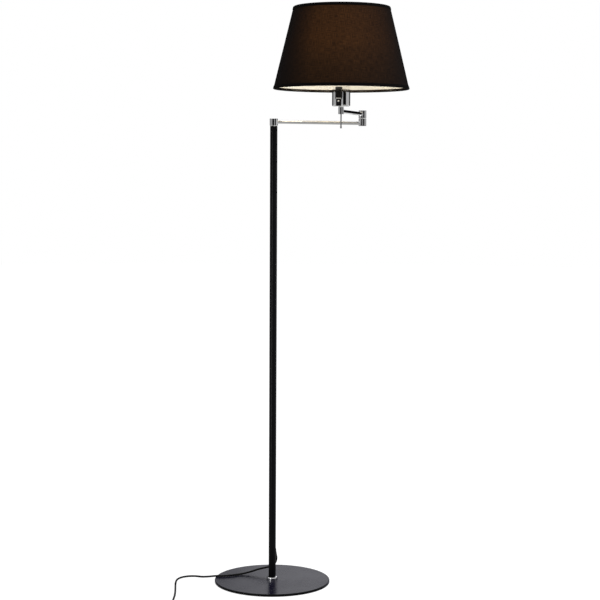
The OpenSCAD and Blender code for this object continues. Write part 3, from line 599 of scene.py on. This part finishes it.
flex = make_flex()
plug_shell = piece("plug_shell", "stand", MATERIALS["cord_rubber"],
                   [patch(plug_points(), ends=True)], ["plug_body"])
coil_tie = piece("coil_tie", "stand", TAPE, [patch(tie_points(), closed=True)])


# ---- Shade ----

HEMS_LOW, HEMS_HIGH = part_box("shade_hems")
SHADE_LOW, SHADE_TALL = HEMS_LOW.z, HEMS_HIGH.z - HEMS_LOW.z
SHADE_FOOT, SHADE_HEAD = (HEMS_HIGH.x - HEMS_LOW.x) / 2, 0.1225


def round_lamp(angle, up, inset, unevenness):
    """Points round the lamp's axis at heights above the shade's lower rim, so far inside the
    shade's outer face."""
    outer = SHADE_FOOT + (SHADE_HEAD - SHADE_FOOT) * up / SHADE_TALL
    r = outer - inset + unevenness
    return np.stack([r * np.cos(angle) + LAMP.x, r * np.sin(angle) + LAMP.y,
                     SHADE_LOW + up + 0 * r], -1)


def cloth_points():
    """Cone of cloth with a glued lap at the back, 12 mm wide and a thread thick, and with the
    slight unevenness of cloth on its backing: a few low waves round it, under 0.2 mm."""
    margin, inset = 0.0006, 0.0008
    lap_at, half_lap, lap_edge, thread, mean_radius = rad(93), 0.006, 0.0012, 0.00025, 0.145
    up = np.linspace(margin, SHADE_TALL - margin, 64)[:, None]
    angle = circle(360)[None, :]
    away = (angle - lap_at) * mean_radius
    lap = smooth((half_lap - np.abs(away)) / lap_edge) * thread
    waves = 0.00008 * np.sin(7 * angle + 9 * up) + 0.00006 * np.sin(17 * angle - 31 * up)
    return round_lamp(angle, up, inset, lap + waves)


def tape_points(edge, toward):
    """Tape folded over a rim and its wire: outside 8 mm, round the edge, inside 3.2 mm."""
    inner, thick, outside, inside = 0.0049, 0.0004, 0.0080, 0.0032
    turn = np.linspace(0, np.pi, 13)
    half = inner / 2
    outer_fold = np.stack([half - half * np.cos(turn), 0.0024 - 0.0024 * np.sin(turn)], -1)
    inner_fold = np.stack([half - (half - thick) * np.cos(turn), 0.0026 - 0.0022 * np.sin(turn)],
                          -1)
    spots = np.vstack([
        [(0.00002, outside), (0.0, 0.0076), (0.0, 0.0050), (0.0, 0.0030)], outer_fold,
        [(inner, 0.0028), (inner, inside), (inner - thick, inside), (inner - thick, 0.0028)],
        inner_fold[::-1], [(thick, 0.0050), (thick, outside)]])[::-toward]
    angle = circle(300)[None, :]
    pucker = 0.00006 * np.sin(61 * angle) * np.sin(23 * angle + 2)
    return round_lamp(angle, edge + toward * spots[:, 1:], spots[:, :1], pucker)


# Metres of thread round the shade, up its cloth and across its tapes
THREAD_ROUND, THREAD_UP, THREAD_TAPE = TAU * 0.1475, 0.211, 0.03
cloth = piece("shade_cloth", "head", MATERIALS["black_fabric"],
              [patch(cloth_points(), cloth=(THREAD_ROUND, THREAD_UP))], ["shade_fabric"])
CLOTH_THICK = 0.0006
thicken = cloth.modifiers.new("thickness", "SOLIDIFY")
thicken.thickness = CLOTH_THICK
thicken.offset = -1
tapes = piece("shade_tapes", "head", TAPE,
              [patch(tape_points(edge, toward), closed=True, cloth=(THREAD_ROUND, THREAD_TAPE))
               for edge, toward in ((0.0, 1), (SHADE_TALL, -1))], ["shade_hems"])


# ---- Studio ----

def card(name, size, place, look_at, watts, colour=(1, 1, 1), mirrored=False):
    """Soft box. It lights the lamp and isn't seen in the chrome, or, when mirrored, it is only
    seen in what is glossy."""
    lamp = bpy.data.lights.new(name, "AREA")
    lamp.shape = "RECTANGLE"
    lamp.size, lamp.size_y = size
    lamp.energy = watts
    lamp.color = colour
    made = bpy.data.objects.new(name, lamp)
    made.location = place
    made.rotation_euler = (Vector(look_at) - Vector(place)).to_track_quat("-Z", "Y").to_euler()
    made.visible_glossy = mirrored
    made.visible_diffuse = not mirrored
    made.visible_camera = False
    bpy.context.scene.collection.objects.link(made)


card("key", (1.4, 2.2), (-2.6, -2.2, 2.4), (0, 0, 0.9), 12)
card("fill", (1.4, 2.4), (2.8, -1.0, 1.9), (0.1, 0, 1.1), 110, (0.90, 0.94, 1.0))
card("top", (2.0, 2.0), (0, 0.6, 3.6), (0, 0, 0.5), 40)
card("strip", (0.30, 1.1), (-1.07, -1.32, 0.6), (0, 0, 0.6), 7, mirrored=True)
card("panel", (0.34, 1.5), (0.36, -1.04, 1.3), (0, 0, 1.3), 0.64, mirrored=True)


def light_path(g, *rays):
    """1 for a ray of any of the kinds that are named, and 0 for others."""
    kinds = [g.add("LightPath", out=f"Is {ray} Ray") for ray in rays]
    total = kinds[0]
    for kind in kinds[1:]:
        total = total.math("MAXIMUM", kind)
    return total


WHITE, ROOM_GREY = (1.0, 1.0, 1.0), (0.55, 0.55, 0.56)
BLACK = 0.003
BACKDROP = (1.10, 1.10, 1.14)
FLOOR_NEAR, FLOOR_FAR = (0.40, 0.40, 0.385), (0.90, 0.90, 0.90)
# Tones round the studio in degrees from the camera's side, more to its right: half the backdrop,
# the left flag, the left bank, the dark camera's side, the right bank, the right flag, and the
# other half of the backdrop
BANKS = (
    (-180, BACKDROP), (-178.7, BACKDROP), (-174.7, BLACK), (-131, BLACK),
    (-122, 0.22), (-108, 0.38), (-74, 0.38), (-62, 0.28), (-48, 0.24), (-42, 0.24),
    (-38, BLACK), (62, BLACK), (67, 0.47), (100, 0.46), (122, 0.34),
    (127, BLACK), (171, BLACK), (175, BACKDROP), (180, BACKDROP))


def studio_turn(g, across, away):
    """Share of a turn round the lamp: 0.5 is towards the camera's side, more is to its right."""
    return across.math("ARCTAN2", away * -1.0) * (1 / TAU) + 0.5


def from_front(turn):
    """Share of a turn away from the camera's side, the same to the left and to the right."""
    return (turn - 0.5).math("ABSOLUTE")


def flag_side(g, side):
    """1 where the flags stand, which is from 130 degrees off the camera's side."""
    return g.within(side, 0.32, 0.36)


def white_room(g):
    """Plain white room with a white ceiling. In the chrome it has a bright backdrop, a tall dark
    flag at each side of that, a grey bank at each side of the lamp, and a dark camera's side."""
    across, away, up = g.parts(g.add("TexCoord", out="Generated"))
    turn = studio_turn(g, across, away)
    banks = g.ramp(turn, *[(degrees / 360 + 0.5, tone) for degrees, tone in BANKS])
    bank_top, flag_more, ceiling = 0.26, 0.26, 0.50
    height = up.math("ABSOLUTE") - flag_more * flag_side(g, from_front(turn))
    seen = g.mix(g.within(height, bank_top, ceiling), banks, WHITE)
    colour = g.mix(light_path(g, "Glossy"), ROOM_GREY, seen)
    colour = g.mix(light_path(g, "Camera", "Transmission"), colour, WHITE)
    return g.add("Background", {}, {"Color": colour, "Strength": 1.0})


def white_floor(g):
    """White floor that keeps a soft shadow. In the chrome it is grey near the lamp and at the
    camera's side, pale further out behind, and black far out where the flags stand."""
    across, away, _ = g.parts(g.place())
    side = from_front(studio_turn(g, across, away))
    reach = across * across + away * away    # distance from the stand, squared
    pale = g.within(side, 0.20, 0.30) * g.within(reach, 5.0, 12.0)
    seen = g.mix(pale, FLOOR_NEAR, FLOOR_FAR)
    beside = flag_side(g, side) * g.within(side, 0.484, 0.476)
    seen = g.mix(g.within(reach, 16.0, 36.0) * beside, seen, (BLACK,) * 3)
    lit = g.add("BsdfDiffuse", {}, {"Color": (0.2, 0.2, 0.2, 1)})
    glow = g.add("Emission", {}, {"Color": (0.9, 0.9, 0.9, 1)})
    bright = g.add("AddShader", {}, [lit, glow])
    mirror = g.add("Emission", {}, {"Color": seen})
    plain = g.add("BsdfDiffuse", {}, {"Color": (0.75, 0.75, 0.75, 1)})
    unseen = g.blend(light_path(g, "Glossy"), plain, mirror)
    return g.blend(light_path(g, "Camera", "Transmission"), unseen, bright)


def make_floor():
    """Round floor, 14 m in radius."""
    radius, sides = 14, 96
    angle = circle(sides)
    ring = np.stack([radius * np.cos(angle), radius * np.sin(angle), 0 * angle], -1)
    mesh = bpy.data.meshes.new("floor")
    mesh.from_pydata(ring.tolist(), [], [list(range(sides))])
    made = bpy.data.objects.new("floor", mesh)
    mesh.materials.append(finish_of(white_floor))
    bpy.context.scene.collection.objects.link(made)


make_floor()
world = bpy.data.worlds.new("room")
world.use_nodes = True
bpy.context.scene.world = world
room = Graph(world.node_tree)
room.finish(white_room(room), "World")
bpy.context.scene.view_settings.view_transform = "Standard"

bpy.context.view_layer.update()
